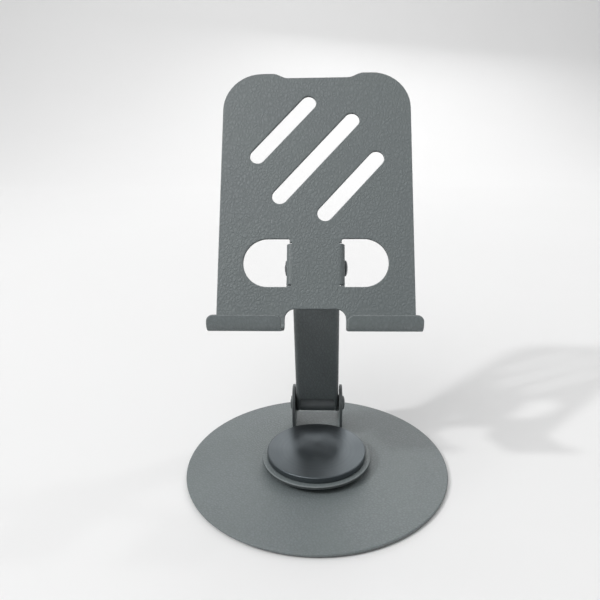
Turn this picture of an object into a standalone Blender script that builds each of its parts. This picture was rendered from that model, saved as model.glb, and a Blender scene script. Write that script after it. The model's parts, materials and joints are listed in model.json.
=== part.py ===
"""Folding phone stand on a swivelling disc base, in metres, +Z up, front towards -Y.

The origin is the centre of the base's underside, on the swivel axis.
"""

import math

import bmesh
import bpy

MM = 0.001

# Base disc and its pad.
DISC_RADIUS = 60.0 * MM
DISC_SHEET = 1.3 * MM
DISC_BOTTOM = 0.8 * MM
DISC_EDGE = 0.4 * MM
PAD_RADIUS = 56.0 * MM
PAD_THICKNESS = 0.5 * MM
BOSS_RADIUS = 17.0 * MM
BOSS_RISE = 1.6 * MM
BOSS_SLOPE = 2.0 * MM
BOSS_FOLD = 0.8 * MM

# Swivel stack on the disc's centre.
BOLT_RADIUS = 2.9 * MM
BOLT_HOLE_RADIUS = 3.2 * MM
BOLT_HEAD_RADIUS = 6.5 * MM
BOLT_HEAD_HEIGHT = 0.9 * MM
STACK_GAP = 0.3 * MM
THRUST_WASHER_RADIUS = 16.0 * MM
THRUST_WASHER_HEIGHT = 0.5 * MM
FLANGE_RADIUS = 25.0 * MM
FLANGE_EDGE = 0.5 * MM
CAP_RADIUS = 22.8 * MM
CAP_HEIGHT = 2.7 * MM
CAP_EDGE = 0.8 * MM
CAP_POCKET_RADIUS = 12.0 * MM
CAP_POCKET_DEPTH = 1.6 * MM
CAP_BOSS_RADIUS = 5.2 * MM
SPRING_INNER_RADIUS = 5.8 * MM
SPRING_RADIUS = 11.0 * MM
SPRING_SHEET = 0.3 * MM
SPRING_WAVE = 0.2 * MM
SPRING_WAVES = 3

# Sheet thicknesses and bends.
BRACKET_SHEET = 1.5 * MM
ARM_SHEET = 1.5 * MM
PLATE_SHEET = 1.5 * MM
INNER_BEND = 0.8 * MM

# The two hinges. Each turns about X.
LOWER_PIVOT_Y = 31.0 * MM
LOWER_PIVOT_Z = 16.5 * MM
ARM_LENGTH = 78.0 * MM
ARM_LEAN = math.radians(13.2)
PLATE_RECLINE = math.radians(28.9)
PIN_RADIUS = 2.0 * MM
PIN_HOLE_RADIUS = 2.15 * MM
PIN_HEAD_RADIUS = 3.5 * MM
PIN_HEAD_HEIGHT = 1.3 * MM
PIN_HEAD_EDGE = 0.4 * MM
PIN_COLLAR_RADIUS = 3.3 * MM
PIN_COLLAR_HEIGHT = 0.7 * MM
SLEEVE_RADIUS = 4.0 * MM
FRICTION_WASHER_RADIUS = 4.1 * MM
FRICTION_WASHER_HEIGHT = 0.3 * MM
SIDE_GAP = 0.1 * MM
BRACKET_EAR_RADIUS = 9.25 * MM
ARM_HALF_WIDTH = 10.5 * MM
ARM_HALF_DEPTH = 4.3 * MM
ARM_END_RADIUS = 4.2 * MM
ARM_WEB_SETBACK = 6.0 * MM
ARM_INNER_BEND = 0.5 * MM

# Phone plate, measured up the plate from the hooks' underside.
PLATE_HALF_WIDTH = 42.0 * MM
PLATE_HEIGHT = 117.5 * MM
PLATE_CORNER_RADIUS = 17.3 * MM
PLATE_FACE_OFFSET = 8.6 * MM
TOP_DIP_DEPTH = 2.2 * MM
TOP_DIP_FLAT = 13.5 * MM
TOP_DIP_OUTER = 20.5 * MM
TOP_DIP_SHIFT = 0.6 * MM
PIVOT_HEIGHT = 28.85 * MM
PLATE_EAR_RADIUS = 9.05 * MM
HOLE_LOW = 18.9 * MM
HOLE_HIGH = 40.0 * MM
HOLE_INNER = 11.8 * MM
HOLE_OUTER = 31.1 * MM
SLOT_HALF_WIDTH = 3.45 * MM
SLOT_ANGLE = math.radians(48.2)
SLOT_PITCH = 20.0 * MM
SLOT_CENTRE_HEIGHT = 76.8 * MM
SLOT_SPANS = (33.4 * MM, 47.2 * MM, 33.4 * MM)
SLOT_SHIFTS = (0.3 * MM, 0.0, 0.5 * MM)
CABLE_NOTCH_HALF_WIDTH = 12.9 * MM
CABLE_NOTCH_TOP = 9.4 * MM
CABLE_NOTCH_CORNER = 4.3 * MM
SHELF_BEND = 1.5 * MM
SHELF_ANGLE = 82.0
SHELF_FLAT = 15.5 * MM
LIP_BEND = 2.5 * MM
LIP_ANGLE = 83.0
LIP_RISE = 2.8 * MM
LIP_CORNER = 2.3 * MM
HOOK_DEPTH = 5.0 * MM

# Heights of the swivel stack, worked out from the bottom up.
DISC_TOP = DISC_BOTTOM + DISC_SHEET
BOSS_TOP = DISC_TOP + BOSS_RISE
LOWER_WASHER_BOTTOM = BOSS_TOP + STACK_GAP
FLANGE_BOTTOM = LOWER_WASHER_BOTTOM + THRUST_WASHER_HEIGHT + STACK_GAP
FLANGE_TOP = FLANGE_BOTTOM + BRACKET_SHEET
CAP_BOTTOM = FLANGE_TOP + STACK_GAP
CAP_TOP = CAP_BOTTOM + CAP_HEIGHT

# Half widths of the hinge stack, worked out from the arm outwards.
WASHER_INNER_X = ARM_HALF_WIDTH + SIDE_GAP
EAR_INNER_X = WASHER_INNER_X + FRICTION_WASHER_HEIGHT + SIDE_GAP
REACH = 200.0 * MM


# ---------------------------------------------------------------- helpers

def clear_scene():
    for existing in list(bpy.data.objects):
        bpy.data.objects.remove(existing, do_unlink=True)


def make_material(name, colour, roughness, metallic):
    material = bpy.data.materials.new(name)
    material.use_nodes = True
    shader = material.node_tree.nodes["Principled BSDF"]
    shader.inputs["Base Color"].default_value = (*colour, 1.0)
    shader.inputs["Roughness"].default_value = roughness
    shader.inputs["Metallic"].default_value = metallic
    return material


def make_empty(name, location, turn_about_x, parent=None):
    empty = bpy.data.objects.new(name, None)
    bpy.context.scene.collection.objects.link(empty)
    empty.location = location
    empty.rotation_euler = (turn_about_x, 0.0, 0.0)
    empty.parent = parent
    return empty


def make_object(name, bm, parent, material=None):
    """Make a solid from a bmesh. Without a material it is a hidden cutter."""
    bmesh.ops.recalc_face_normals(bm, faces=bm.faces)
    mesh = bpy.data.meshes.new(name)
    bm.to_mesh(mesh)
    bm.free()
    mesh.shade_smooth()
    mesh.set_sharp_from_angle(angle=math.radians(35.0))
    solid = bpy.data.objects.new(name, mesh)
    bpy.context.scene.collection.objects.link(solid)
    solid.parent = parent
    if material:
        mesh.materials.append(material)
    else:
        solid.hide_render = True
        solid.display_type = 'WIRE'
    return solid


def combine(solid, other, operation):
    modifier = solid.modifiers.new(other.name, 'BOOLEAN')
    modifier.operation = operation
    modifier.solver = 'EXACT'
    modifier.object = other


def cut(solid, bm, name):
    combine(solid, make_object(name, bm, solid.parent), 'DIFFERENCE')


def trim(solid, bm, name):
    combine(solid, make_object(name, bm, solid.parent), 'INTERSECT')


def arc(centre_a, centre_b, radius, start, end, steps):
    """Points on an arc, in degrees, both ends included."""
    points = []
    for step in range(steps + 1):
        angle = math.radians(start + (end - start) * step / steps)
        points.append((centre_a + radius * math.cos(angle), centre_b + radius * math.sin(angle)))
    return points


def prism(outline, axis, low, high):
    """Extrude a closed outline along an axis. Its points are the other two coordinates, in XYZ order."""
    along = 'XYZ'.index(axis)

    def place(a, b, t):
        point = [a, b]
        point.insert(along, t)
        return point

    bm = bmesh.new()
    face = bm.faces.new([bm.verts.new(place(a, b, low)) for a, b in outline])
    grown = bmesh.ops.extrude_face_region(bm, geom=[face])
    top = [item for item in grown["geom"] if isinstance(item, bmesh.types.BMVert)]
    bmesh.ops.translate(bm, verts=top, vec=place(0.0, 0.0, high - low))
    return bm


def turned(profile, axis, steps, closed=False):
    """Turn a profile of (radius, height) points about Z or X. A closed profile makes a ring."""
    bm = bmesh.new()
    verts = [bm.verts.new((radius, 0.0, height)) for radius, height in profile]
    edges = [bm.edges.new(pair) for pair in zip(verts, verts[1:])]
    if closed:
        edges.append(bm.edges.new((verts[-1], verts[0])))
    bmesh.ops.spin(bm, geom=verts + edges, cent=(0, 0, 0), axis=(0, 0, 1),
                   angle=math.tau, steps=steps, use_merge=True)
    bmesh.ops.remove_doubles(bm, verts=bm.verts, dist=1e-6)
    if axis == 'X':
        for vert in bm.verts:
            x, y, z = vert.co
            vert.co = (z, x, y)
    return bm


def rod(radius, low, high, axis, steps):
    return turned([(0.0, low), (radius, low), (radius, high), (0.0, high)], axis, steps)


def ring(inner, outer, low, high, axis, steps):
    return turned([(inner, low), (outer, low), (outer, high), (inner, high)], axis, steps, closed=True)


def bend(centre_a, centre_b, radius, start, end, thickness):
    """Outer and inner arcs of a bend, as two point lists."""
    steps = 6
    return (arc(centre_a, centre_b, radius + thickness, start, end, steps),
            arc(centre_a, centre_b, radius, start, end, steps))


def channel_outline(half_width, depth_low, depth_high, sheet, inner_bend):
    """A U section: the web lies at depth_low and two flanges run up to depth_high."""
    centre_a = half_width - sheet - inner_bend
    centre_b = depth_low + sheet + inner_bend
    outer, inner = bend(centre_a, centre_b, inner_bend, -90.0, 0.0, sheet)
    right = outer + [(half_width, depth_high), (half_width - sheet, depth_high)] + inner[::-1]
    left = [(-a, b) for a, b in reversed(right)]
    return right + left


# ---------------------------------------------------------------- base

def make_base_pad(material):
    profile = [(0.0, 0.0), (PAD_RADIUS, 0.0), (PAD_RADIUS, PAD_THICKNESS), (0.0, PAD_THICKNESS)]
    make_object("base_pad", turned(profile, 'Z', 64), None, material)


def make_base_plate(material):
    boss_under = BOSS_TOP - DISC_SHEET
    profile = [
        (BOLT_HOLE_RADIUS, boss_under),
        (BOSS_RADIUS - BOSS_FOLD, boss_under),
        (BOSS_RADIUS + BOSS_SLOPE - BOSS_FOLD, DISC_BOTTOM),
        (DISC_RADIUS - DISC_EDGE, DISC_BOTTOM),
        (DISC_RADIUS, DISC_BOTTOM + DISC_EDGE),
        (DISC_RADIUS, DISC_TOP - DISC_EDGE),
        (DISC_RADIUS - DISC_EDGE, DISC_TOP),
        (BOSS_RADIUS + BOSS_SLOPE, DISC_TOP),
        (BOSS_RADIUS, BOSS_TOP),
        (BOLT_HOLE_RADIUS, BOSS_TOP),
    ]
    make_object("base_plate", turned(profile, 'Z', 72, closed=True), None, material)


def make_pivot_bolt(material):
    head_top = BOSS_TOP - DISC_SHEET - STACK_GAP
    head_bottom = head_top - BOLT_HEAD_HEIGHT
    shank_top = CAP_BOTTOM + CAP_POCKET_DEPTH - STACK_GAP
    profile = [
        (0.0, head_bottom),
        (BOLT_HEAD_RADIUS, head_bottom),
        (BOLT_HEAD_RADIUS, head_top),
        (BOLT_RADIUS, head_top),
        (BOLT_RADIUS, shank_top),
        (0.0, shank_top),
    ]
    make_object("pivot_bolt", turned(profile, 'Z', 32), None, material)


def make_lower_thrust_washer(material):
    washer = ring(BOLT_HOLE_RADIUS, THRUST_WASHER_RADIUS, LOWER_WASHER_BOTTOM,
                  LOWER_WASHER_BOTTOM + THRUST_WASHER_HEIGHT, 'Z', 48)
    make_object("lower_thrust_washer", washer, None, material)


def make_upper_thrust_washer(material):
    washer = ring(SPRING_INNER_RADIUS, SPRING_RADIUS, CAP_BOTTOM,
                  CAP_BOTTOM + THRUST_WASHER_HEIGHT - SIDE_GAP, 'Z', 48)
    make_object("upper_thrust_washer", washer, None, material)


def make_wave_spring(material):
    """A flat ring whose height rises and falls three times around."""
    high = CAP_BOTTOM + CAP_POCKET_DEPTH - STACK_GAP - SPRING_WAVE
    bm = ring(SPRING_INNER_RADIUS, SPRING_RADIUS, high - SPRING_SHEET, high, 'Z', 48)
    for vert in bm.verts:
        around = math.atan2(vert.co.y, vert.co.x)
        vert.co.z += SPRING_WAVE * math.sin(SPRING_WAVES * around)
    bmesh.ops.triangulate(bm, faces=bm.faces)
    make_object("wave_spring_washer", bm, None, material)


def make_hub_cap(material):
    pocket_top = CAP_BOTTOM + CAP_POCKET_DEPTH
    profile = [
        (0.0, pocket_top),
        (BOLT_HOLE_RADIUS, pocket_top),
        (BOLT_HOLE_RADIUS, CAP_BOTTOM),
        (CAP_BOSS_RADIUS, CAP_BOTTOM),
        (CAP_BOSS_RADIUS, pocket_top),
        (CAP_POCKET_RADIUS, pocket_top),
        (CAP_POCKET_RADIUS, CAP_BOTTOM),
        (CAP_RADIUS - CAP_EDGE / 2, CAP_BOTTOM),
        (CAP_RADIUS, CAP_BOTTOM + CAP_EDGE / 2),
    ]
    profile += arc(CAP_RADIUS - CAP_EDGE, CAP_TOP - CAP_EDGE, CAP_EDGE, 0.0, 90.0, 4)
    profile.append((0.0, CAP_TOP))
    make_object("hub_cap", turned(profile, 'Z', 64), None, material)


# ---------------------------------------------------------------- swivel bracket

def make_swivel_bracket(axis, material):
    """A round flange with a tongue behind it, bent up at both sides into the lower hinge's ears."""
    half_width = EAR_INNER_X + BRACKET_SHEET
    ear_front = LOWER_PIVOT_Y - BRACKET_EAR_RADIUS
    ear_back = LOWER_PIVOT_Y + BRACKET_EAR_RADIUS
    tongue_front = 0.6 * FLANGE_RADIUS
    section = channel_outline(half_width, FLANGE_BOTTOM, REACH, BRACKET_SHEET, INNER_BEND)
    blank = prism(section, 'Y', tongue_front, ear_back + MM)
    bracket = make_object("swivel_bracket", blank, axis, material)

    step = FLANGE_TOP - BRACKET_SHEET / 4
    side = [(tongue_front - MM, step), (tongue_front - MM, -MM), (ear_back, -MM)]
    side += arc(LOWER_PIVOT_Y, LOWER_PIVOT_Z, BRACKET_EAR_RADIUS, 0.0, 180.0, 20)
    side.append((ear_front, step))
    trim(bracket, prism(side, 'X', -REACH, REACH), "bracket_side")

    flange = [
        (0.0, FLANGE_BOTTOM),
        (FLANGE_RADIUS - FLANGE_EDGE, FLANGE_BOTTOM),
        (FLANGE_RADIUS, FLANGE_BOTTOM + FLANGE_EDGE),
        (FLANGE_RADIUS, FLANGE_TOP - FLANGE_EDGE),
        (FLANGE_RADIUS - FLANGE_EDGE, FLANGE_TOP),
        (0.0, FLANGE_TOP),
    ]
    combine(bracket, make_object("bracket_flange", turned(flange, 'Z', 64), axis), 'UNION')

    cut(bracket, rod(BOLT_HOLE_RADIUS, -MM, CAP_TOP, 'Z', 32), "bracket_bolt_hole")
    pin_hole = rod(PIN_HOLE_RADIUS, -REACH, REACH, 'X', 24)
    bmesh.ops.translate(pin_hole, verts=pin_hole.verts, vec=(0.0, LOWER_PIVOT_Y, LOWER_PIVOT_Z))
    cut(bracket, pin_hole, "bracket_pin_hole")


# ---------------------------------------------------------------- arm

def make_arm_channel(axis, material):
    """A channel open to the rear. Its web stops short of both hinges."""
    depth = ARM_HALF_DEPTH
    section = channel_outline(ARM_HALF_WIDTH, -depth, depth + MM, ARM_SHEET, ARM_INNER_BEND)
    arm = make_object("arm_channel", prism(section, 'Z', -REACH / 2, REACH), axis, material)

    front = -depth - MM
    side = arc(0.0, ARM_LENGTH, ARM_END_RADIUS, 0.0, 180.0, 14)
    side += [(front, ARM_LENGTH - MM), (front, MM)]
    side += arc(0.0, 0.0, ARM_END_RADIUS, 180.0, 360.0, 14)
    trim(arm, prism(side, 'X', -REACH, REACH), "arm_side")

    gap = ARM_HALF_WIDTH - ARM_SHEET - SIDE_GAP
    for name, low, high in (("arm_low_window", -REACH / 2, ARM_WEB_SETBACK),
                            ("arm_high_window", ARM_LENGTH - ARM_WEB_SETBACK, REACH)):
        window = [(-gap, low), (gap, low), (gap, high), (-gap, high)]
        cut(arm, prism(window, 'Y', -REACH, 0.0), name)
    for name, height in (("arm_low_hole", 0.0), ("arm_high_hole", ARM_LENGTH)):
        hole = rod(PIN_HOLE_RADIUS, -REACH, REACH, 'X', 24)
        bmesh.ops.translate(hole, verts=hole.verts, vec=(0.0, 0.0, height))
        cut(arm, hole, name)


# ---------------------------------------------------------------- phone plate

def plate_front_outline():
    """The plate's outline seen square on, as (x, height), open below the hooks."""
    corner_x = PLATE_HALF_WIDTH - PLATE_CORNER_RADIUS
    side = [(PLATE_HALF_WIDTH, -HOOK_DEPTH)]
    side += arc(corner_x, PLATE_HEIGHT - PLATE_CORNER_RADIUS, PLATE_CORNER_RADIUS, 0.0, 90.0, 14)
    dip = []
    steps = 6
    for step in range(steps + 1):
        along = step / steps
        x = TOP_DIP_OUTER + (TOP_DIP_FLAT - TOP_DIP_OUTER) * along
        dip.append((x, PLATE_HEIGHT - TOP_DIP_DEPTH * (1.0 - math.cos(math.pi * along)) / 2))
    right = side + [(TOP_DIP_SHIFT + x, height) for x, height in dip]
    left = [(TOP_DIP_SHIFT - x, height) for x, height in reversed(dip)]
    left += [(-x, height) for x, height in reversed(side)]
    return right + left


def stadium(centre_x, centre_height, span, angle):
    """A slot outline, span being the distance between its two end centres."""
    outline = []
    for end in (1, -1):
        end_x = centre_x + end * span / 2 * math.cos(angle)
        end_height = centre_height + end * span / 2 * math.sin(angle)
        start = math.degrees(angle) - end * 90.0
        outline += arc(end_x, end_height, SLOT_HALF_WIDTH, start, start + 180.0, 10)
    return outline


def hook_sides():
    """Outer and inner side of plate, shelf and lip, as (depth behind the face, height), walked down."""
    sheet = PLATE_SHEET
    shelf, lip = math.radians(SHELF_ANGLE), math.radians(SHELF_ANGLE + LIP_ANGLE)
    bend_depth, bend_height = -SHELF_BEND, SHELF_BEND + sheet
    growth = LIP_BEND - SHELF_BEND
    lip_depth = bend_depth - SHELF_FLAT * math.sin(shelf) - growth * math.cos(shelf)
    lip_height = bend_height - SHELF_FLAT * math.cos(shelf) + growth * math.sin(shelf)
    sides = []
    for grown, depth in ((sheet, sheet), (0.0, 0.0)):
        side = [(depth, PLATE_HEIGHT + MM)]
        side += arc(bend_depth, bend_height, SHELF_BEND + grown, 0.0, -SHELF_ANGLE, 6)
        side += arc(lip_depth, lip_height, LIP_BEND + grown, -SHELF_ANGLE, -SHELF_ANGLE - LIP_ANGLE, 6)
        side.append((side[-1][0] - LIP_RISE * math.sin(lip), side[-1][1] - LIP_RISE * math.cos(lip)))
        sides.append(side)
    return sides


def hook_section():
    outer, inner = hook_sides()
    return outer + inner[::-1]


def shift(outline, by_a, by_b):
    return [(a + by_a, b + by_b) for a, b in outline]


def make_phone_plate(axis, material):
    """One sheet: the face with its openings, the hooks folded forward and the ears folded back."""
    face = -PLATE_FACE_OFFSET
    section = shift(hook_section(), face, -PIVOT_HEIGHT)
    blank = prism(section, 'X', -PLATE_HALF_WIDTH, PLATE_HALF_WIDTH)
    plate = make_object("phone_plate", blank, axis, material)

    outline = shift(plate_front_outline(), 0.0, -PIVOT_HEIGHT)
    trim(plate, prism(outline, 'Y', -REACH, REACH), "plate_outline")

    notch_x, notch_top = CABLE_NOTCH_HALF_WIDTH, CABLE_NOTCH_TOP - PIVOT_HEIGHT
    corner = CABLE_NOTCH_CORNER
    notch = arc(notch_x - corner, notch_top - corner, corner, 0.0, 90.0, 6)
    notch += arc(corner - notch_x, notch_top - corner, corner, 90.0, 180.0, 6)
    notch += [(-notch_x, -REACH), (notch_x, -REACH)]
    cut(plate, prism(notch, 'Y', -REACH, REACH), "cable_notch")

    for index, (span, along) in enumerate(zip(SLOT_SPANS, SLOT_SHIFTS)):
        offset = (index - 1) * SLOT_PITCH
        centre_x = offset * math.sin(SLOT_ANGLE) + along * math.cos(SLOT_ANGLE)
        centre_height = SLOT_CENTRE_HEIGHT - offset * math.cos(SLOT_ANGLE) + along * math.sin(SLOT_ANGLE)
        centre_height -= PIVOT_HEIGHT
        slot = stadium(centre_x, centre_height, span, SLOT_ANGLE)
        cut(plate, prism(slot, 'Y', face - MM, face + PLATE_SHEET + MM), f"slot_{index}")

    radius = (HOLE_HIGH - HOLE_LOW) / 2
    middle = (HOLE_HIGH + HOLE_LOW) / 2 - PIVOT_HEIGHT
    for side, name in ((1, "hole_right"), (-1, "hole_left")):
        hole = [(HOLE_INNER, middle - radius)] + arc(HOLE_OUTER - radius, middle, radius, -90.0, 90.0, 16)
        hole.append((HOLE_INNER, middle + radius))
        hole = [(side * x, height) for x, height in hole]
        cut(plate, prism(hole, 'Y', face - MM, face + PLATE_SHEET + MM), name)

    round_lip_corners(plate)
    add_plate_ears(plate, axis)


def round_lip_corners(plate):
    """Round the upper corners of both hooks' lips."""
    tip_depth, tip_height = hook_sides()[0][-1]
    top = tip_height - PIVOT_HEIGHT
    front = tip_depth + LIP_BEND + PLATE_SHEET - PLATE_FACE_OFFSET
    ends = ((PLATE_HALF_WIDTH, -1), (CABLE_NOTCH_HALF_WIDTH, 1))
    for side in (-1, 1):
        for end, inwards in ends:
            centre_x = end + inwards * LIP_CORNER
            outside = end - inwards * MM
            corner = arc(centre_x, top - LIP_CORNER, LIP_CORNER, 90.0, 90.0 + inwards * 90.0, 8)
            corner.append((outside, top - LIP_CORNER))
            corner.append((outside, top + 2 * MM))
            corner.append((centre_x, top + 2 * MM))
            corner = [(side * x, height) for x, height in corner]
            cutter = prism(corner, 'Y', front - 20 * MM, front)
            cut(plate, cutter, f"lip_corner_{side}_{inwards}")


def add_plate_ears(plate, axis):
    """The upper hinge's two ears, with the strip that joins them."""
    radius, half_width = PLATE_EAR_RADIUS, EAR_INNER_X + PLATE_SHEET
    section = channel_outline(half_width, -PLATE_FACE_OFFSET, radius + MM, PLATE_SHEET, INNER_BEND)
    ears = make_object("plate_ears", prism(section, 'Z', -radius - MM, radius + MM), axis)
    front = -PLATE_FACE_OFFSET - MM
    side = [(front, -radius)] + arc(0.0, 0.0, radius, -90.0, 90.0, 16) + [(front, radius)]
    trim(ears, prism(side, 'X', -REACH, REACH), "plate_ear_side")
    combine(plate, ears, 'UNION')
    cut(plate, rod(PIN_HOLE_RADIUS, -REACH, REACH, 'X', 24), "plate_pin_hole")


# ---------------------------------------------------------------- hinge hardware

def make_hinge_hardware(prefix, axis, ear_sheet, steel, polymer):
    """Pin, collar and two friction washers of one hinge."""
    outer = EAR_INNER_X + ear_sheet + SIDE_GAP
    head_edge = PIN_HEAD_EDGE
    pin = [
        (0.0, -outer - PIN_COLLAR_HEIGHT - head_edge),
        (PIN_RADIUS - head_edge, -outer - PIN_COLLAR_HEIGHT - head_edge),
        (PIN_RADIUS, -outer - PIN_COLLAR_HEIGHT),
        (PIN_RADIUS, outer),
        (PIN_HEAD_RADIUS, outer),
        (PIN_HEAD_RADIUS, outer + PIN_HEAD_HEIGHT - head_edge),
        (PIN_HEAD_RADIUS - head_edge, outer + PIN_HEAD_HEIGHT),
        (0.0, outer + PIN_HEAD_HEIGHT),
    ]
    pieces = [(f"{prefix}_hinge_pin", turned(pin, 'X', 24), steel)]
    collar = ring(PIN_HOLE_RADIUS, PIN_COLLAR_RADIUS, -outer - PIN_COLLAR_HEIGHT, -outer, 'X', 24)
    pieces.append((f"{prefix}_pin_collar", collar, steel))
    for side, name in ((1, "right"), (-1, "left")):
        faces = sorted((side * WASHER_INNER_X, side * (WASHER_INNER_X + FRICTION_WASHER_HEIGHT)))
        washer = ring(PIN_HOLE_RADIUS, FRICTION_WASHER_RADIUS, *faces, 'X', 32)
        pieces.append((f"{prefix}_friction_washer_{name}", washer, polymer))
    for name, bm, material in pieces:
        make_object(name, bm, axis, material)


def make_sleeve(name, axis, height, material):
    """The spacer tube around the pin, between the arm's two flanges."""
    half = ARM_HALF_WIDTH - ARM_SHEET - 2 * SIDE_GAP
    sleeve = ring(PIN_HOLE_RADIUS, SLEEVE_RADIUS, -half, half, 'X', 24)
    make_object(name, sleeve, axis, material).location = (0.0, 0.0, height)


# ---------------------------------------------------------------- assembly

def build():
    clear_scene()
    coat = make_material("powder_coat", (0.15, 0.173, 0.178), 0.55, 0.0)
    cap = make_material("turned_cap", (0.1, 0.12, 0.135), 0.35, 0.8)
    steel = make_material("blackened_steel", (0.11, 0.12, 0.125), 0.4, 0.9)
    polymer = make_material("acetal", (0.03, 0.03, 0.03), 0.5, 0.0)
    spring = make_material("spring_steel", (0.45, 0.45, 0.45), 0.3, 1.0)
    rubber = make_material("pad_rubber", (0.02, 0.02, 0.02), 0.85, 0.0)

    make_base_pad(rubber)
    make_base_plate(coat)
    make_pivot_bolt(steel)
    make_lower_thrust_washer(polymer)
    make_upper_thrust_washer(polymer)
    make_wave_spring(spring)
    make_hub_cap(cap)

    swivel_axis = make_empty("swivel_axis", (0.0, 0.0, 0.0), 0.0)
    make_swivel_bracket(swivel_axis, coat)
    bracket_axis = make_empty("bracket_hinge_axis", (0.0, LOWER_PIVOT_Y, LOWER_PIVOT_Z), 0.0, swivel_axis)
    make_hinge_hardware("lower", bracket_axis, BRACKET_SHEET, steel, polymer)

    arm_axis = make_empty("arm_axis", (0.0, 0.0, 0.0), ARM_LEAN, bracket_axis)
    make_arm_channel(arm_axis, coat)
    make_sleeve("lower_spacer_sleeve", arm_axis, 0.0, steel)
    make_sleeve("upper_spacer_sleeve", arm_axis, ARM_LENGTH, steel)

    plate_axis = make_empty("plate_axis", (0.0, 0.0, ARM_LENGTH), -ARM_LEAN - PLATE_RECLINE, arm_axis)
    make_phone_plate(plate_axis, coat)
    make_hinge_hardware("upper", plate_axis, PLATE_SHEET, steel, polymer)
    bpy.context.view_layer.update()


build()
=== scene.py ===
"""Looks of the folding phone stand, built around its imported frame. Metres, +Z up, front towards -Y.

Each sheet-metal piece is drawn flat, with rounded edges, and then folded along its bends.
"""

import json
import math

import bmesh
import bpy
from mathutils import Matrix, Vector


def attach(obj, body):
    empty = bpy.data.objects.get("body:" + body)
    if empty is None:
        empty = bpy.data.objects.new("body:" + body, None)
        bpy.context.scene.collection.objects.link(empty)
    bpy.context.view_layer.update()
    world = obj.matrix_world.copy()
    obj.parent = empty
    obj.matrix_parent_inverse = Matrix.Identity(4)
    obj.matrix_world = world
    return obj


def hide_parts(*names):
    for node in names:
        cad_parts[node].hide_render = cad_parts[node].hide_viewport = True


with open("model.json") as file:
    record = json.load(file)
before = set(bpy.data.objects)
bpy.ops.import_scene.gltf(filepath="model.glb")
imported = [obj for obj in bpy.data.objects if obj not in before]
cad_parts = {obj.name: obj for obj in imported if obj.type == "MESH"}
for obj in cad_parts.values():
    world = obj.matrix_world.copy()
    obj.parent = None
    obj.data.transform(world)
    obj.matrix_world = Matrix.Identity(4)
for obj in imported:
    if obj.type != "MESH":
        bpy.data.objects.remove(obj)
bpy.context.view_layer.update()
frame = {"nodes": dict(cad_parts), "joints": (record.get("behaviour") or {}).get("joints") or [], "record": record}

MM = 0.001
SAME_POINT = 1e-7

# Where the two hinges and the phone's face are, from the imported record.
JOINTS = {joint["name"]: joint for joint in frame["joints"]}
MOUNTS = {mount["name"]: mount for mount in frame["record"]["mounts"]}
LOWER_PIVOT = Vector(JOINTS["arm_hinge"]["pos_m"])
UPPER_PIVOT = Vector(JOINTS["plate_hinge"]["pos_m"])
ARM_UP = (UPPER_PIVOT - LOWER_PIVOT).normalized()
ARM_LENGTH = (UPPER_PIVOT - LOWER_PIVOT).length
PLATE_FRONT = Vector(MOUNTS["phone_rest"]["axis"]).normalized()
ACROSS = Vector((1.0, 0.0, 0.0))
ARM_BACK = ARM_UP.cross(ACROSS)
PLATE_UP = ACROSS.cross(-PLATE_FRONT)

# Sheets.
PLATE_SHEET = 1.5 * MM
ARM_SHEET = 1.5 * MM
BRACKET_SHEET = 1.5 * MM
DISC_SHEET = 1.3 * MM
SHEET_EDGE = 0.38 * MM
FLANGE_EDGE = 0.5 * MM
INNER_BEND = 0.8 * MM
ARM_INNER_BEND = 0.5 * MM
BEND_STEPS = 8

# Hinges.
PIN_RADIUS = 2.0 * MM
PIN_HOLE = 2.1 * MM
EAR_INNER_X = 11.0 * MM
PIVOT_DEPTH_ARM = 4.3 * MM
PIVOT_DEPTH_PLATE = 8.6 * MM
ARM_END_RADIUS = 4.2 * MM
ARM_HALF_WIDTH = 10.5 * MM
ARM_WEB_SETBACK = 6.0 * MM
BRACKET_EAR_RADIUS = 9.25 * MM
PLATE_EAR_RADIUS = 9.05 * MM

# Phone plate, measured up the plate from the underside of the bend into the hooks' shelves.
PLATE_HALF_WIDTH = 42.0 * MM
PLATE_HEIGHT = 117.5 * MM
PLATE_CORNER = 17.3 * MM
TOP_DIP_DEPTH = 2.2 * MM
TOP_DIP_FLAT = 13.5 * MM
TOP_DIP_OUTER = 20.5 * MM
TOP_DIP_SHIFT = 0.6 * MM
PIVOT_HEIGHT = 28.85 * MM
HOLE_LOW = 18.9 * MM
HOLE_HIGH = 40.0 * MM
HOLE_OUTER = 31.1 * MM
EAR_SLIT = 0.35 * MM
SLOT_HALF_WIDTH = 3.45 * MM
SLOT_ANGLE = math.radians(48.2)
SLOT_PITCH = 20.0 * MM
SLOT_CENTRE_HEIGHT = 76.8 * MM
SLOT_SPANS = (33.4 * MM, 47.2 * MM, 33.4 * MM)
SLOT_SHIFTS = (0.3 * MM, 0.0, 0.5 * MM)
NOTCH_HALF_WIDTH = 12.9 * MM
NOTCH_TOP = 9.4 * MM
NOTCH_CORNER = 4.3 * MM
SHELF_BEND = 1.5 * MM
SHELF_ANGLE = math.radians(82.0)
SHELF_FLAT = 15.5 * MM
LIP_BEND = 2.5 * MM
LIP_ANGLE = math.radians(83.0)
LIP_RISE = 2.8 * MM
LIP_CORNER = 2.5 * MM

# Base and hub, as radii about the swivel axis.
DISC_RADIUS = 60.0 * MM
DISC_BOTTOM = 0.8 * MM
BOSS_RADIUS = 17.0 * MM
BOSS_SLOPE = 2.0 * MM
BOSS_RISE = 1.6 * MM
BOLT_HOLE = 3.2 * MM
PAD_RADIUS = 56.0 * MM
PAD_THICKNESS = 0.5 * MM
FLANGE_RADIUS = 25.0 * MM
FLANGE_BOTTOM = 4.8 * MM
CAP_RADIUS = 22.8 * MM
CAP_BOTTOM = 6.6 * MM
CAP_TOP = 9.3 * MM


# ---------------------------------------------------------------- outlines

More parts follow.
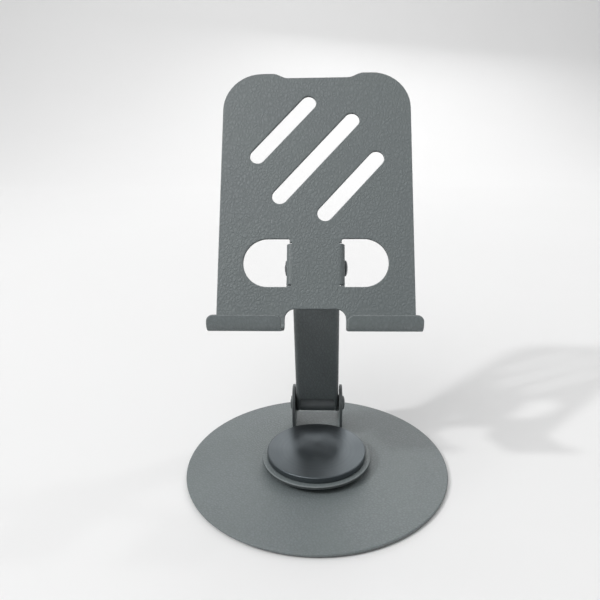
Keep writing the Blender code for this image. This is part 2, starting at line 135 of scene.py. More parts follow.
def arc(centre_a, centre_b, radius, start, end, steps):
    """Points on an arc, in degrees, both ends included."""
    angles = [math.radians(start + (end - start) * step / steps) for step in range(steps + 1)]
    return [(centre_a + radius * math.cos(angle), centre_b + radius * math.sin(angle)) for angle in angles]


def rounded(corners, closed=True, degrees_per_step=7.5):
    """Corners as (a, b) or (a, b, rounding radius), turned into points. An open path's ends stay sharp."""
    points = []
    for index, corner in enumerate(corners):
        here = Vector(corner[:2])
        radius = corner[2] if len(corner) > 2 else 0.0
        at_end = not closed and index in (0, len(corners) - 1)
        if radius == 0.0 or at_end:
            points.append(here)
            continue
        before = (here - Vector(corners[index - 1][:2])).normalized()
        after = (Vector(corners[(index + 1) % len(corners)][:2]) - here).normalized()
        turn = before.angle_signed(after) * -1.0
        side = math.copysign(1.0, turn)
        normal = Vector((-before.y, before.x)) * side
        start = here - before * radius * math.tan(abs(turn) / 2)
        centre = start + normal * radius
        steps = max(2, round(math.degrees(abs(turn)) / degrees_per_step))
        for step in range(steps + 1):
            swept = abs(turn) * step / steps
            points.append(centre - normal * radius * math.cos(swept) + before * radius * math.sin(swept))
    kept = [point for index, point in enumerate(points)
            if index == 0 or (point - points[index - 1]).length > SAME_POINT]
    if closed and (kept[0] - kept[-1]).length < SAME_POINT:
        kept.pop()
    return kept


def inset(loop, distance):
    """The loop moved into the material on its left, with mitred corners."""
    moved = []
    for index, here in enumerate(loop):
        before = (here - loop[index - 1]).normalized()
        after = (loop[(index + 1) % len(loop)] - here).normalized()
        normal = Vector((-before.y, before.x))
        mitre = (normal + Vector((-after.y, after.x))).normalized()
        moved.append(here + mitre * distance / mitre.dot(normal))
    return moved


def circle(centre_a, centre_b, radius, steps):
    """A round hole: a clockwise loop."""
    return [Vector(point) for point in arc(centre_a, centre_b, radius, 360.0, 0.0, steps)[:-1]]


# ---------------------------------------------------------------- meshes

def finish_piece(name, bm, material, body, slot, *replaced):
    """Turn a bmesh into a smooth-shaded piece that rides on a body and stands for CAD nodes."""
    bmesh.ops.recalc_face_normals(bm, faces=bm.faces)
    mesh = bpy.data.meshes.new(name)
    bm.to_mesh(mesh)
    bm.free()
    mesh.shade_smooth()
    mesh.materials.append(material)
    piece = bpy.data.objects.new(name, mesh)
    bpy.context.scene.collection.objects.link(piece)
    weighted = piece.modifiers.new("weighted_normals", 'WEIGHTED_NORMAL')
    weighted.mode = 'FACE_AREA'
    weighted.weight = 90
    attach(piece, body)
    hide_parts(*replaced)
    return piece


def edge_profile(sheet, rounding, steps=4):
    """(inset, depth, edge lightening, cut face) of the rings from a sheet's front face round its edge to its back
    face. The edge lightening peaks halfway round the rounding, partly for coat rubbed thin and partly as a painted
    highlight; the cut face value carries painted shade.
    """
    front = []
    for step in range(steps + 1):
        angle = math.pi / 2 * step / steps
        inward, depth = rounding * (1.0 - math.sin(angle)), rounding * (1.0 - math.cos(angle))
        front.append((inward, depth, math.sin(2 * angle), max(0.0, 2.0 * step / steps - 1.0)))
    return front + [(inward, sheet - depth, wear_and_highlight, cut) for inward, depth, wear_and_highlight, cut in reversed(front)]


def flat_sheet(loops, sheet, rounding, creases):
    """A flat sheet with rounded edges, front face at depth 0. Creases are (axis, position) fold lines."""
    bm = bmesh.new()
    # Masks for two painted marks: the lighter rounding of each edge (coat rubbed thin, plus a painted highlight)
    # and the darker cut face (painted shade).
    wear_and_highlight_layer = bm.verts.layers.float.new("edge_wear_and_highlight")
    cut_shade_layer = bm.verts.layers.float.new("cut_edge_shade")
    faces_at_depth = ([], [])
    for loop in loops:
        rings = []
        for inward, depth, wear_and_highlight, cut in edge_profile(sheet, rounding):
            ring = [bm.verts.new((point.x, point.y, depth)) for point in inset(loop, inward)]
            for vert in ring:
                vert[wear_and_highlight_layer], vert[cut_shade_layer] = wear_and_highlight, cut
            rings.append(ring)
        for ring, deeper in zip(rings, rings[1:]):
            for index in range(len(loop)):
                following = (index + 1) % len(loop)
                bm.faces.new((ring[index], ring[following], deeper[following], deeper[index]))
        for edges, ring in zip(faces_at_depth, (rings[0], rings[-1])):
            edges += [bm.edges.get((ring[index - 1], ring[index])) for index in range(len(ring))]
    for edges in faces_at_depth:
        bmesh.ops.triangle_fill(bm, use_beauty=True, edges=edges)
    for axis, position in creases:
        plane = Vector((0.0, 0.0, 0.0))
        plane[axis] = 1.0
        bmesh.ops.bisect_plane(bm, geom=bm.verts[:] + bm.edges[:] + bm.faces[:], dist=SAME_POINT,
                               plane_co=plane * position, plane_no=plane)
    return bm


def bend_length(radius, sheet, angle):
    return (radius + sheet / 2) * angle


def bend_creases(start, radius, sheet, angle):
    """Where the flat sheet is divided so that it can turn smoothly through a bend."""
    return [start + bend_length(radius, sheet, angle) * step / BEND_STEPS for step in range(BEND_STEPS + 1)]


def bend(run, depth, start, radius, angle, sheet, forward):
    """Where a point at (run, depth) goes when all beyond start is folded, forward or back."""
    beyond = run - start
    if beyond <= 0.0:
        return run, depth
    turn = min(beyond / (radius + sheet / 2), angle)
    straight = beyond - turn * (radius + sheet / 2)
    reach = radius + depth if forward else radius + sheet - depth
    new_run = start + reach * math.sin(turn) + straight * math.cos(turn)
    rise = reach * math.cos(turn) - straight * math.sin(turn)
    return (new_run, rise - radius) if forward else (new_run, radius + sheet - rise)


def fold_ears(bm, start, radius, sheet, is_ear):
    """Fold back, at right angles, the parts on both sides for which is_ear says so."""
    for vert in bm.verts:
        across, along, depth = vert.co
        if is_ear(abs(across), along):
            run, depth = bend(abs(across), depth, start, radius, math.pi / 2, sheet, forward=False)
            vert.co = (math.copysign(run, across), along, depth)


def place(bm, origin, up, back):
    """Move from (across, along, depth) to world axes and triangulate what is no longer flat."""
    for vert in bm.verts:
        across, along, depth = vert.co
        vert.co = origin + ACROSS * across + up * along + back * depth
    bmesh.ops.triangulate(bm, faces=[face for face in bm.faces if len(face.verts) > 4])


def turned(profile, steps, axis='Z', centre=(0.0, 0.0, 0.0)):
    """Turn a profile of (radius, height) points about Z or X through a centre."""
    bm = bmesh.new()
    verts = [bm.verts.new((point[0], 0.0, point[1])) for point in profile]
    edges = [bm.edges.new(pair) for pair in zip(verts, verts[1:])]
    if profile[0][0] > 0.0:
        edges.append(bm.edges.new((verts[-1], verts[0])))
    bmesh.ops.spin(bm, geom=verts + edges, cent=(0, 0, 0), axis=(0, 0, 1), angle=math.tau, steps=steps,
                   use_merge=True)
    bmesh.ops.remove_doubles(bm, verts=bm.verts, dist=SAME_POINT)
    for vert in bm.verts:
        x, y, z = vert.co
        vert.co = Vector(centre) + (Vector((z, x, y)) if axis == 'X' else Vector((x, y, z)))
    return bm


# ---------------------------------------------------------------- materials

class Surface:
    """A Principled material and the nodes that drive it."""

    def __init__(self, name, **fixed):
        self.material = bpy.data.materials.new(name)
        self.material.use_nodes = True
        self.tree = self.material.node_tree
        self.shader = self.tree.nodes["Principled BSDF"]
        for socket, value in fixed.items():
            self.shader.inputs[socket.replace("_", " ")].default_value = value
        self.place = self.node("ShaderNodeTexCoord").outputs["Object"]

    def node(self, kind, settings=None, **inputs):
        """Add a node. An input is a socket to link or a plain value. in_0 stands for socket number 0."""
        made = self.tree.nodes.new(kind)
        for name, value in (settings or {}).items():
            setattr(made, name, value)
        for name, value in inputs.items():
            key = int(name.removeprefix("in_")) if name.startswith("in_") else name.replace("_", " ")
            socket = made.inputs[key]
            if isinstance(value, bpy.types.NodeSocket):
                self.tree.links.new(value, socket)
            else:
                socket.default_value = value
        return made

    def stretched(self, scale):
        return self.node("ShaderNodeMapping", Vector=self.place, Scale=scale).outputs["Vector"]

    def noise(self, scale, detail=2.0, vector=None, **more):
        where = vector or self.place
        made = self.node("ShaderNodeTexNoise", Vector=where, Scale=scale, Detail=detail, **more)
        return made.outputs["Fac"]

    def cells(self, scale, feature, vector, **more):
        made = self.node("ShaderNodeTexVoronoi", {"feature": feature}, Vector=vector, Scale=scale, **more)
        return made.outputs["Distance"]

    def math(self, operation, first, second):
        made = self.node("ShaderNodeMath", {"operation": operation}, in_0=first, in_1=second)
        return made.outputs["Value"]

    def remap(self, value, from_low, from_high, to_low, to_high):
        made = self.node("ShaderNodeMapRange", Value=value, From_Min=from_low, From_Max=from_high,
                         To_Min=to_low, To_Max=to_high)
        return made.outputs["Result"]

    def mix(self, factor, first, second):
        made = self.node("ShaderNodeMix", {"data_type": 'RGBA'}, in_0=factor)
        for index, value in ((6, first), (7, second)):
            if isinstance(value, bpy.types.NodeSocket):
                self.tree.links.new(value, made.inputs[index])
            else:
                made.inputs[index].default_value = (*value, 1.0)
        return made.outputs[2]

    def set(self, socket, value):
        self.tree.links.new(value, self.shader.inputs[socket])

    def bump(self, height, strength, distance, normal=None):
        made = self.node("ShaderNodeBump", Height=height, Strength=strength, Distance=distance)
        if normal:
            self.tree.links.new(normal, made.inputs["Normal"])
        return made.outputs["Normal"]


def leather_grain_coat(name, shade):
    """Powder coat with a fine leather grain: domed cells about a millimetre across, creases between them."""
    coat = Surface(name, IOR=1.65)
    grain_place = coat.stretched((1.0, 1.0, 0.72))
    drift = coat.node("ShaderNodeTexNoise", Vector=grain_place, Scale=420.0, Detail=2.0).outputs["Color"]
    warped = coat.node("ShaderNodeVectorMath", {"operation": 'MULTIPLY_ADD'}, in_0=drift,
                       in_1=(0.0011, 0.0011, 0.0011), in_2=grain_place).outputs["Vector"]
    creases = coat.remap(coat.cells(700.0, 'DISTANCE_TO_EDGE', warped), 0.0, 0.28, 0.0, 1.0)
    small_cells = coat.remap(coat.cells(1500.0, 'SMOOTH_F1', warped, Smoothness=0.6), 0.1, 0.75, 1.0, 0.0)
    speckle = coat.noise(5200.0, 2.0)
    height = coat.math('ADD', coat.math('MULTIPLY', creases, 0.6), coat.math('MULTIPLY', small_cells, 0.4))
    height = coat.math('ADD', height, coat.math('MULTIPLY', speckle, 0.06))
    patches = coat.noise(38.0, 3.0)
    # Painted shade and highlight of the grain's relief: the colour follows the height, darker in the creases and
    # lighter on the cell tops.
    tone = coat.mix(coat.remap(height, 0.2, 1.0, 0.0, 1.0), (0.136, 0.157, 0.162), (0.168, 0.194, 0.2))
    tone = coat.mix(coat.remap(patches, 0.3, 0.7, 0.0, 0.5), tone, (0.146, 0.174, 0.172))
    # Rounded edges coloured lighter: partly coat rubbed thin, partly a painted highlight where the rounding
    # catches the light.
    wear_and_highlight_mask = coat.node("ShaderNodeAttribute", {"attribute_name": "edge_wear_and_highlight"}).outputs["Fac"]
    scuffs_and_sheen = coat.remap(coat.noise(260.0, 4.0), 0.35, 0.7, 0.15, 0.6)
    tone = coat.mix(coat.math('MULTIPLY', wear_and_highlight_mask, scuffs_and_sheen), tone, (0.25, 0.28, 0.285))
    # Painted shade: the cut faces between the roundings are coloured nearly black.
    cut = coat.node("ShaderNodeAttribute", {"attribute_name": "cut_edge_shade"}).outputs["Fac"]
    tone = coat.mix(coat.math('MULTIPLY', cut, 0.75), tone, (0.02, 0.024, 0.026))
    # Painted shade: shade mixes the whole coat towards black. The arm's copy is darkened this way; the copy on the
    # plate, bracket and base is not.
    coat.set("Base Color", coat.mix(shade, tone, (0.0, 0.0, 0.0)))
    gloss = coat.math('ADD', height, coat.math('MULTIPLY', patches, 0.3))
    coat.set("Roughness", coat.remap(gloss, 0.2, 1.3, 0.6, 0.42))
    coat.set("Normal", coat.bump(height, 0.62, 0.00018))
    return coat.material


def turned_metal():
    """Dark anodised metal whose face was turned on a lathe: fine rings that spread its gloss into rays."""
    metal = Surface("turned_anodised_metal", Metallic=0.85, Anisotropic=0.82, Specular_IOR_Level=0.5)
    tangent = metal.node("ShaderNodeTangent", {"direction_type": 'RADIAL', "axis": 'Z'}).outputs["Tangent"]
    metal.set("Tangent", tangent)
    flat_place = metal.stretched((1.0, 1.0, 0.0))
    rings = metal.node("ShaderNodeTexWave", {"wave_type": 'RINGS', "rings_direction": 'SPHERICAL',
                                             "wave_profile": 'SIN'},
                       Vector=flat_place, Scale=620.0, Distortion=0.4, Detail=2.0).outputs["Fac"]
    radius = metal.node("ShaderNodeVectorMath", {"operation": 'LENGTH'}, in_0=flat_place).outputs["Value"]
    bands = metal.node("ShaderNodeTexNoise", {"noise_dimensions": '1D'}, W=radius, Scale=900.0,
                       Detail=3.0).outputs["Fac"]
    haze = metal.noise(90.0, 3.0)
    tone = metal.mix(metal.remap(bands, 0.3, 0.7, 0.0, 1.0), (0.1, 0.115, 0.125), (0.114, 0.13, 0.14))
    metal.set("Base Color", metal.mix(metal.remap(haze, 0.35, 0.65, 0.0, 0.4), tone, (0.098, 0.116, 0.126)))
    metal.set("Roughness", metal.remap(metal.math('ADD', bands, haze), 0.6, 1.4, 0.3, 0.38))
    lines = metal.math('ADD', metal.math('MULTIPLY', rings, 0.5), bands)
    metal.set("Normal", metal.bump(lines, 0.05, 0.00002))
    return metal.material


def blackened_steel():
    """Blackened rivet steel, with faint tool marks and rubbed high spots."""
    steel = Surface("blackened_steel", Metallic=0.4)
    marks = steel.noise(1400.0, 4.0, steel.stretched((0.25, 1.0, 1.0)))
    blotches = steel.noise(180.0, 3.0)
    rubbed = steel.remap(blotches, 0.5, 0.8, 0.0, 0.25)
    steel.set("Base Color", steel.mix(rubbed, (0.13, 0.145, 0.15), (0.22, 0.23, 0.235)))
    steel.set("Roughness", steel.remap(marks, 0.3, 0.7, 0.42, 0.56))
    steel.set("Normal", steel.bump(marks, 0.25, 0.00004))
    return steel.material


def acetal():
    """Black low-friction plastic with a fine moulded grain."""
    plastic = Surface("acetal")
    grain = plastic.noise(3600.0, 3.0)
    tone = plastic.mix(plastic.noise(240.0), (0.022, 0.023, 0.024), (0.04, 0.042, 0.043))
    plastic.set("Base Color", tone)
    plastic.set("Roughness", plastic.remap(grain, 0.3, 0.7, 0.4, 0.55))
    plastic.set("Normal", plastic.bump(grain, 0.2, 0.00003))
    return plastic.material


def spring_steel():
    """Bright rolled spring strip."""
    strip = Surface("spring_steel", Metallic=1.0, Anisotropic=0.5)
    scratches = strip.noise(2600.0, 4.0, strip.stretched((1.0, 0.12, 1.0)))
    strip.set("Base Color", strip.mix(scratches, (0.38, 0.38, 0.38), (0.55, 0.55, 0.54)))
    strip.set("Roughness", strip.remap(scratches, 0.3, 0.7, 0.22, 0.38))
    strip.set("Normal", strip.bump(scratches, 0.15, 0.00003))
    return strip.material


def pad_rubber():
    """Black anti-slip rubber with a fine pebbled skin and a little dust."""
    rubber = Surface("pad_rubber", Specular_IOR_Level=0.35)
    pebbles = rubber.cells(1100.0, 'SMOOTH_F1', rubber.place, Smoothness=0.7)
    dust = rubber.remap(rubber.noise(120.0, 5.0), 0.5, 0.75, 0.0, 0.35)
    rubber.set("Base Color", rubber.mix(dust, (0.018, 0.018, 0.019), (0.09, 0.088, 0.085)))
    rubber.set("Roughness", rubber.remap(pebbles, 0.0, 0.8, 0.72, 0.92))
    rubber.set("Normal", rubber.bump(pebbles, 0.5, 0.00012))
    return rubber.material


def studio_paper():
    """Matt white sweep paper."""
    paper = Surface("studio_paper", Specular_IOR_Level=0.2, Roughness=0.9)
    fibres = paper.noise(900.0, 4.0)
    paper.set("Base Color", paper.mix(paper.noise(2.2, 3.0), (0.80, 0.80, 0.798), (0.84, 0.84, 0.842)))
    paper.set("Normal", paper.bump(fibres, 0.05, 0.0001))
    return paper.material


# ---------------------------------------------------------------- phone plate

EAR_BEND_START = EAR_INNER_X - INNER_BEND
EAR_PIVOT_RUN = (EAR_BEND_START + bend_length(INNER_BEND, PLATE_SHEET, math.pi / 2)
                 + PIVOT_DEPTH_PLATE - PLATE_SHEET - INNER_BEND)
HOOK_TOP = SHELF_BEND + PLATE_SHEET
LIP_BEND_START = bend_length(SHELF_BEND, PLATE_SHEET, SHELF_ANGLE) + SHELF_FLAT
HOOK_FLAT_LENGTH = LIP_BEND_START + bend_length(LIP_BEND, PLATE_SHEET, LIP_ANGLE) + LIP_RISE


def plate_outline():
    """The flat plate's outline, anticlockwise, with both hooks hanging straight down."""
    tip = HOOK_TOP - HOOK_FLAT_LENGTH
    side = [(NOTCH_HALF_WIDTH, NOTCH_TOP, NOTCH_CORNER), (NOTCH_HALF_WIDTH, tip, LIP_CORNER),
            (PLATE_HALF_WIDTH, tip, LIP_CORNER), (PLATE_HALF_WIDTH, PLATE_HEIGHT, PLATE_CORNER)]
    dip = []
    steps = 12
    for step in range(steps + 1):
        x = TOP_DIP_OUTER + (TOP_DIP_FLAT - TOP_DIP_OUTER) * step / steps
        dip.append((x, PLATE_HEIGHT - TOP_DIP_DEPTH * (1.0 - math.cos(math.pi * step / steps)) / 2))
    right = side + [(TOP_DIP_SHIFT + x, height) for x, height in dip]
    left = [(TOP_DIP_SHIFT - x, height) for x, height in reversed(dip)]
    left += [(-corner[0], *corner[1:]) for corner in reversed(side)]
    return rounded(right + left)


def cable_hole(side):
    """One of the plate's two D-shaped holes, clockwise, with the flat ear that is folded back out of it."""
    inner = EAR_BEND_START + 0.1 * MM
    low_inner, high_inner = 12.4 * MM, 11.2 * MM
    radius = (HOLE_HIGH - HOLE_LOW) / 2
    ear_end = EAR_PIVOT_RUN + PLATE_EAR_RADIUS
    ear_low, ear_high = PIVOT_HEIGHT - PLATE_EAR_RADIUS, PIVOT_HEIGHT + PLATE_EAR_RADIUS
    corners = [(low_inner, HOLE_LOW), (HOLE_OUTER, HOLE_LOW, radius), (HOLE_OUTER, HOLE_HIGH, radius),
               (high_inner, HOLE_HIGH, 0.8 * MM), (high_inner, ear_high + EAR_SLIT),
               (inner, ear_high + EAR_SLIT), (inner, ear_high),
               (ear_end, ear_high, PLATE_EAR_RADIUS), (ear_end, ear_low, PLATE_EAR_RADIUS),
               (inner, ear_low), (inner, ear_low - EAR_SLIT), (low_inner, ear_low - EAR_SLIT)]
    loop = rounded(corners)
    if side > 0:
        return loop[::-1]
    return [Vector((-point.x, point.y)) for point in loop]


def slanted_slot(index, span, shift):
    """One of the three slots, clockwise."""
    offset = (index - 1) * SLOT_PITCH
    half = span / 2 + SLOT_HALF_WIDTH
    corners = [(-half, SLOT_HALF_WIDTH, SLOT_HALF_WIDTH), (half, SLOT_HALF_WIDTH, SLOT_HALF_WIDTH),
               (half, -SLOT_HALF_WIDTH, SLOT_HALF_WIDTH), (-half, -SLOT_HALF_WIDTH, SLOT_HALF_WIDTH)]
    turn = Matrix.Rotation(SLOT_ANGLE, 2)
    centre = Vector((offset * math.sin(SLOT_ANGLE), SLOT_CENTRE_HEIGHT - offset * math.cos(SLOT_ANGLE)))
    along = Vector((shift, 0.0))
    return [centre + turn @ (point + along) for point in rounded(corners)]


def is_plate_ear(across, along):
    """Whether a point of the flat plate is on an ear. The rest of the plate lies further from the pivot."""
    beyond_pivot = max(across - EAR_PIVOT_RUN, 0.0)
    distance = math.hypot(beyond_pivot, along - PIVOT_HEIGHT)
    return across > EAR_BEND_START and distance < PLATE_EAR_RADIUS + EAR_SLIT / 2


def make_phone_plate(material):
    loops = [plate_outline(), cable_hole(1), cable_hole(-1)]
    loops += [slanted_slot(index, SLOT_SPANS[index], SLOT_SHIFTS[index]) for index in range(3)]
    loops += [circle(side * EAR_PIVOT_RUN, PIVOT_HEIGHT, PIN_HOLE, 32) for side in (1, -1)]
    creases = [(0, side * position) for side in (1, -1)
               for position in bend_creases(EAR_BEND_START, INNER_BEND, PLATE_SHEET, math.pi / 2)]
    hook_bends = ((0.0, SHELF_BEND, SHELF_ANGLE), (LIP_BEND_START, LIP_BEND, LIP_ANGLE))
    creases += [(1, HOOK_TOP - run) for start, radius, angle in hook_bends
                for run in bend_creases(start, radius, PLATE_SHEET, angle)]
    bm = flat_sheet(loops, PLATE_SHEET, SHEET_EDGE, creases)
    fold_ears(bm, EAR_BEND_START, INNER_BEND, PLATE_SHEET, is_plate_ear)
    for vert in bm.verts:
        across, along, depth = vert.co
        if along < HOOK_TOP:
            run = HOOK_TOP - along
            for start, radius, angle in reversed(hook_bends):
                run, depth = bend(run, depth, start, radius, angle, PLATE_SHEET, forward=True)
            vert.co = (across, HOOK_TOP - run, depth)
    origin = UPPER_PIVOT - PLATE_UP * PIVOT_HEIGHT + PLATE_FRONT * PIVOT_DEPTH_PLATE
    place(bm, origin, PLATE_UP, -PLATE_FRONT)
    finish_piece("phone_plate_sheet", bm, material, "plate", "coated_sheet", "phone_plate")


# ---------------------------------------------------------------- arm

def make_arm(material):
    """A channel open to the rear, whose web stops short of both hinges."""
    start = ARM_HALF_WIDTH - ARM_SHEET - ARM_INNER_BEND
    pivot_run = (start + bend_length(ARM_INNER_BEND, ARM_SHEET, math.pi / 2)
                 + PIVOT_DEPTH_ARM - ARM_SHEET - ARM_INNER_BEND)
    inner, outer = pivot_run - ARM_END_RADIUS, pivot_run + ARM_END_RADIUS
    relief = 1.2 * MM
    low, high = -ARM_END_RADIUS, ARM_LENGTH + ARM_END_RADIUS
    web_low, web_high = ARM_WEB_SETBACK, ARM_LENGTH - ARM_WEB_SETBACK
    right = [(inner, web_low, relief), (inner, low, ARM_END_RADIUS), (outer, low, ARM_END_RADIUS),
             (outer, high, ARM_END_RADIUS), (inner, high, ARM_END_RADIUS), (inner, web_high, relief)]
    left = [(-corner[0], *corner[1:]) for corner in reversed(right)]
    loops = [rounded(right + left)]
    loops += [circle(side * pivot_run, height, PIN_HOLE, 32)
              for side in (1, -1) for height in (0.0, ARM_LENGTH)]
    creases = [(0, side * position) for side in (1, -1)
               for position in bend_creases(start, ARM_INNER_BEND, ARM_SHEET, math.pi / 2)]
    bm = flat_sheet(loops, ARM_SHEET, SHEET_EDGE, creases)
    fold_ears(bm, start, ARM_INNER_BEND, ARM_SHEET, lambda across, along: across > start)
    place(bm, LOWER_PIVOT - ARM_BACK * PIVOT_DEPTH_ARM, ARM_UP, ARM_BACK)
    finish_piece("arm_channel_sheet", bm, material, "arm", "coated_sheet", "arm_channel")


# ---------------------------------------------------------------- swivel bracket

def make_bracket(material):
    """A round flange with a tongue behind it, folded up at both sides into the lower hinge's ears."""
    start = EAR_INNER_X - INNER_BEND
    pivot_run = (start + bend_length(INNER_BEND, BRACKET_SHEET, math.pi / 2)
                 + LOWER_PIVOT.z - FLANGE_BOTTOM - BRACKET_SHEET - INNER_BEND)
    ear_front, ear_back = LOWER_PIVOT.y - BRACKET_EAR_RADIUS, LOWER_PIVOT.y + BRACKET_EAR_RADIUS
    relief = 0.9 * MM
    relief_front = ear_front - relief
    relief_inner = start - 0.2 * MM
    flange_end = math.degrees(math.asin(relief_front / FLANGE_RADIUS))
    ear_end = pivot_run + BRACKET_EAR_RADIUS
    corners = arc(0.0, 0.0, FLANGE_RADIUS, 180.0 - flange_end, 360.0 + flange_end, 120)
    corners += [(relief_inner, relief_front, relief / 2), (relief_inner, ear_front, relief / 2),
                (ear_end, ear_front, BRACKET_EAR_RADIUS), (ear_end, ear_back, BRACKET_EAR_RADIUS),
                (-ear_end, ear_back, BRACKET_EAR_RADIUS), (-ear_end, ear_front, BRACKET_EAR_RADIUS),
                (-relief_inner, ear_front, relief / 2), (-relief_inner, relief_front, relief / 2)]
    loops = [rounded(corners), circle(0.0, 0.0, BOLT_HOLE, 48)]
    loops += [circle(side * pivot_run, LOWER_PIVOT.y, PIN_HOLE, 32) for side in (1, -1)]
    creases = [(0, side * position) for side in (1, -1)
               for position in bend_creases(start, INNER_BEND, BRACKET_SHEET, math.pi / 2)]
    bm = flat_sheet(loops, BRACKET_SHEET, FLANGE_EDGE, creases)
    ear_limit = ear_front - relief / 2
    fold_ears(bm, start, INNER_BEND, BRACKET_SHEET,
              lambda across, along: across > start and along > ear_limit)
    place(bm, Vector((0.0, 0.0, FLANGE_BOTTOM)), Vector((0.0, 1.0, 0.0)), Vector((0.0, 0.0, 1.0)))
    finish_piece("swivel_bracket_sheet", bm, material, "swivel", "coated_sheet", "swivel_bracket")


# ---------------------------------------------------------------- base and hub

def make_base(coat, rubber):
    """A pressed disc with a raised boss, on a rubber pad."""
    top, boss_top = DISC_BOTTOM + DISC_SHEET, DISC_BOTTOM + DISC_SHEET + BOSS_RISE
    boss_under = boss_top - DISC_SHEET
    edge, fold = 0.55 * MM, 1.2 * MM
    foot, shoulder = BOSS_RADIUS + BOSS_SLOPE, BOSS_RADIUS
    under_shift, hole_edge = DISC_SHEET * 0.6, 0.15 * MM
    profile = rounded([
        (BOLT_HOLE, boss_under, hole_edge), (shoulder - under_shift, boss_under, fold),
        (foot - under_shift, DISC_BOTTOM, fold), (DISC_RADIUS, DISC_BOTTOM, edge),
        (DISC_RADIUS, top, edge), (foot, top, fold),
        (shoulder, boss_top, fold), (BOLT_HOLE, boss_top, hole_edge)])
    finish_piece("base_disc", turned(profile, 200), coat, "base", "coated_sheet", "base_plate")

    pad_edge = 0.25 * MM
    profile = rounded([(0.0, 0.0), (PAD_RADIUS, 0.0, pad_edge), (PAD_RADIUS, PAD_THICKNESS, pad_edge),
                       (0.0, PAD_THICKNESS)], closed=False)
    finish_piece("anti_slip_pad", turned(profile, 160), rubber, "base", "pad_rubber", "base_pad")


def make_hub_cap(material):
    """The turned cap over the swivel, hollow underneath for the bolt and the spring."""
    pocket_top, pocket, boss = CAP_BOTTOM + 1.6 * MM, 12.0 * MM, 5.2 * MM
    lead = 0.15 * MM
    profile = rounded([
        (0.0, pocket_top), (BOLT_HOLE, pocket_top, lead), (BOLT_HOLE, CAP_BOTTOM, lead),
        (boss, CAP_BOTTOM, lead), (boss, pocket_top, lead),
        (pocket, pocket_top, lead), (pocket, CAP_BOTTOM, lead),
        (CAP_RADIUS, CAP_BOTTOM, 0.3 * MM), (CAP_RADIUS, CAP_TOP, 0.6 * MM), (0.0, CAP_TOP)], closed=False)
    finish_piece("hub_cap_turned", turned(profile, 200), material, "base", "turned_cap", "hub_cap")


# ---------------------------------------------------------------- hinge hardware

def make_hinge_hardware(prefix, centre, body, ear_sheet, steel):
    """A rivet with a button head at its right end and a collar, held by the peened end, at its left."""
    gap = 0.1 * MM
    outer = EAR_INNER_X + ear_sheet + gap
    head_radius, head_height = 3.5 * MM, 1.3 * MM
    collar_radius, collar_height = 3.3 * MM, 0.7 * MM
    peen, rim, edge = 0.4 * MM, 0.35 * MM, 0.1 * MM
    crown_base, collar_end = outer + rim, -outer - collar_height
    squash = (head_height - rim) / head_radius
    crown = [(radius, crown_base + (height - crown_base) * squash)
             for radius, height in arc(0.0, crown_base, head_radius, 0.0, 90.0, 12)]
    profile = [(0.0, collar_end - peen), (PIN_RADIUS * 0.55, collar_end - peen * 0.9),
               (PIN_RADIUS * 0.85, collar_end - peen * 0.55), (PIN_RADIUS, collar_end),
               (PIN_RADIUS, outer), (head_radius - edge, outer), (head_radius, outer + edge)]
    profile += crown[:-1] + [(0.0, outer + head_height)]
    finish_piece(f"{prefix}_rivet", turned(profile, 48, 'X', centre), steel, body, "blackened_steel",
                 f"{prefix}_hinge_pin")

    bore, chamfer = PIN_RADIUS + 0.03 * MM, 0.25 * MM
    profile = rounded([(bore, collar_end, edge), (collar_radius, collar_end, chamfer),
                       (collar_radius, -outer, edge), (bore, -outer, edge)])
    finish_piece(f"{prefix}_rivet_collar", turned(profile, 48, 'X', centre), steel, body, "blackened_steel",
                 f"{prefix}_pin_collar")


def make_sleeve(prefix, centre, steel):
    """The spacer tube round a rivet, between the arm's two flanges."""
    half, radius, bore, chamfer = 8.8 * MM, 4.0 * MM, 2.15 * MM, 0.3 * MM
    profile = rounded([(bore, -half, 0.1 * MM), (radius, -half, chamfer), (radius, half, chamfer),
                       (bore, half, 0.1 * MM)])
    finish_piece(f"{prefix}_sleeve", turned(profile, 56, 'X', centre), steel, "arm", "blackened_steel",
                 f"{prefix}_spacer_sleeve")


def dress_inner_nodes(steel, polymer, spring):
    """The pieces inside the hub and the hinges keep their CAD shape."""
    finishes = {"pivot_bolt": steel, "wave_spring_washer": spring}
    for name, node in frame["nodes"].items():
        if name.endswith("thrust_washer") or "friction_washer" in name:
            finishes[name] = polymer
    for name, material in finishes.items():
        mesh = frame["nodes"][name].data
        mesh.materials.clear()
        mesh.materials.append(material)


# ---------------------------------------------------------------- studio

CAMERA_PLACE = Vector((0.0053, -0.2414, 0.1649))
CAMERA_YAW = math.radians(-2.82)
CAMERA_PITCH = math.radians(18.88)
CAMERA_ROLL = math.radians(0.85)


def make_camera():
    level_forward = Vector((math.sin(CAMERA_YAW), math.cos(CAMERA_YAW), 0.0))
    forward = level_forward * math.cos(CAMERA_PITCH) - Vector((0.0, 0.0, math.sin(CAMERA_PITCH)))
    level_right = Vector((math.cos(CAMERA_YAW), -math.sin(CAMERA_YAW), 0.0))
    level_down = forward.cross(level_right)
    right = level_right * math.cos(CAMERA_ROLL) + level_down * math.sin(CAMERA_ROLL)
    up = level_right * math.sin(CAMERA_ROLL) - level_down * math.cos(CAMERA_ROLL)
    data = bpy.data.cameras.new("camera")
    data.sensor_width = 36.0
    data.lens = 36.0
    data.clip_start = 0.01
    camera = bpy.data.objects.new("camera", data)
    bpy.context.scene.collection.objects.link(camera)
    turn = Matrix((right, up, -forward)).transposed().to_4x4()
    camera.matrix_world = Matrix.Translation(CAMERA_PLACE) @ turn
    bpy.context.scene.camera = camera


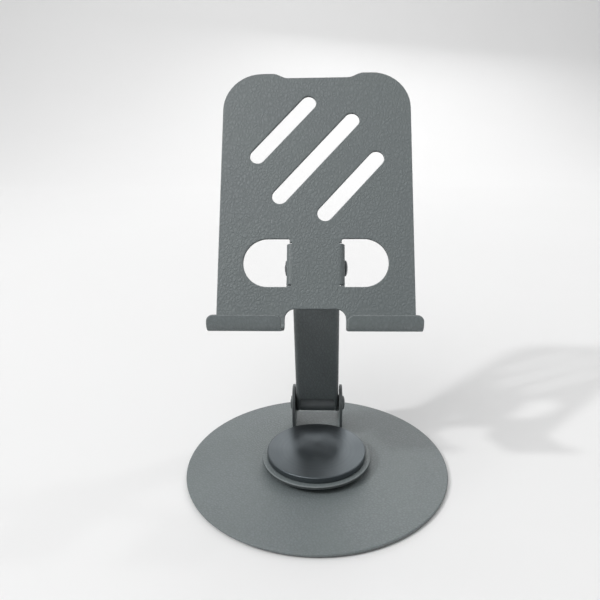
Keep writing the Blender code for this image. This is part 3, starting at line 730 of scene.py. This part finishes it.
def make_sweep(material):
    """A white paper floor that curves up into the backdrop."""
    half_width, front, turn_start, radius, height = 3.0, -0.35, 0.9, 0.9, 1.4
    curve = [(front, 0.0), (turn_start, 0.0)] + arc(turn_start, radius, radius, -90.0, 0.0, 24)[1:]
    curve.append((turn_start + radius, height))
    bm = bmesh.new()
    rows = [[bm.verts.new((x, y, z)) for x in (-half_width, half_width)] for y, z in curve]
    for row, following in zip(rows, rows[1:]):
        bm.faces.new((row[0], row[1], following[1], following[0]))
    mesh = bpy.data.meshes.new("paper_sweep")
    bm.to_mesh(mesh)
    bm.free()
    mesh.shade_smooth()
    mesh.materials.append(material)
    sweep = bpy.data.objects.new("paper_sweep", mesh)
    bpy.context.scene.collection.objects.link(sweep)


def make_light(name, towards, distance, size, power, aim=(0.0, 0.0, 0.07)):
    """A square soft light, placed from the object in a direction and turned to face it."""
    data = bpy.data.lights.new(name, 'AREA')
    data.shape = 'SQUARE'
    data.size = size
    data.energy = power
    light = bpy.data.objects.new(name, data)
    bpy.context.scene.collection.objects.link(light)
    direction = Vector(towards).normalized()
    light.location = Vector(aim) + direction * distance
    light.rotation_euler = direction.to_track_quat('Z', 'Y').to_euler()


def make_room():
    """The room's own light: bright overhead and behind the object, dim in front of it."""
    world = bpy.data.worlds.new("room")
    world.use_nodes = True
    nodes, links = world.node_tree.nodes, world.node_tree.links
    direction = nodes.new("ShaderNodeTexCoord").outputs["Generated"]
    height = nodes.new("ShaderNodeVectorMath")
    height.operation = 'DOT_PRODUCT'
    height.inputs[1].default_value = (0.0, 0.6, 0.8)
    links.new(direction, height.inputs[0])
    strength = nodes.new("ShaderNodeMapRange")
    for socket, value in (("From Min", -0.6), ("From Max", 0.5), ("To Min", 0.03), ("To Max", 0.52)):
        strength.inputs[socket].default_value = value
    links.new(height.outputs["Value"], strength.inputs["Value"])
    links.new(strength.outputs["Result"], nodes["Background"].inputs["Strength"])
    nodes["Background"].inputs["Color"].default_value = (1.0, 1.0, 1.0, 1.0)
    bpy.context.scene.world = world


def make_studio():
    make_camera()
    make_sweep(studio_paper())
    make_light("key", (-1.0, -0.5, 1.0), 3.0, 0.16, 26.0)
    make_light("ceiling", (-0.4, -0.5, 1.0), 1.5, 1.2, 9.0)
    make_light("rear_top", (0.15, 1.0, 0.55), 1.5, 0.8, 3.4)
    make_light("low_right", (0.70, 0.28, 0.656), 1.3, 0.08, 1.2)
    make_light("backdrop_wash", (0.0, -0.7, 0.8), 1.2, 1.4, 5.8, aim=(-0.1, 1.75, 0.58))
    make_room()
    bpy.context.scene.view_settings.view_transform = 'Standard'


def build():
    make_studio()
    coat, steel = leather_grain_coat("leather_grain_coat", 0.0), blackened_steel()
    make_base(coat, pad_rubber())
    make_bracket(coat)
    make_hub_cap(turned_metal())
    # The arm's copy of the coat is darkened by 0.36 as painted shade.
    make_arm(leather_grain_coat("leather_grain_coat_arm_shaded", 0.36))
    make_phone_plate(coat)
    make_hinge_hardware("lower", LOWER_PIVOT, "swivel", BRACKET_SHEET, steel)
    make_hinge_hardware("upper", UPPER_PIVOT, "plate", PLATE_SHEET, steel)
    make_sleeve("lower", LOWER_PIVOT, steel)
    make_sleeve("upper", UPPER_PIVOT, steel)
    dress_inner_nodes(steel, acetal(), spring_steel())


build()
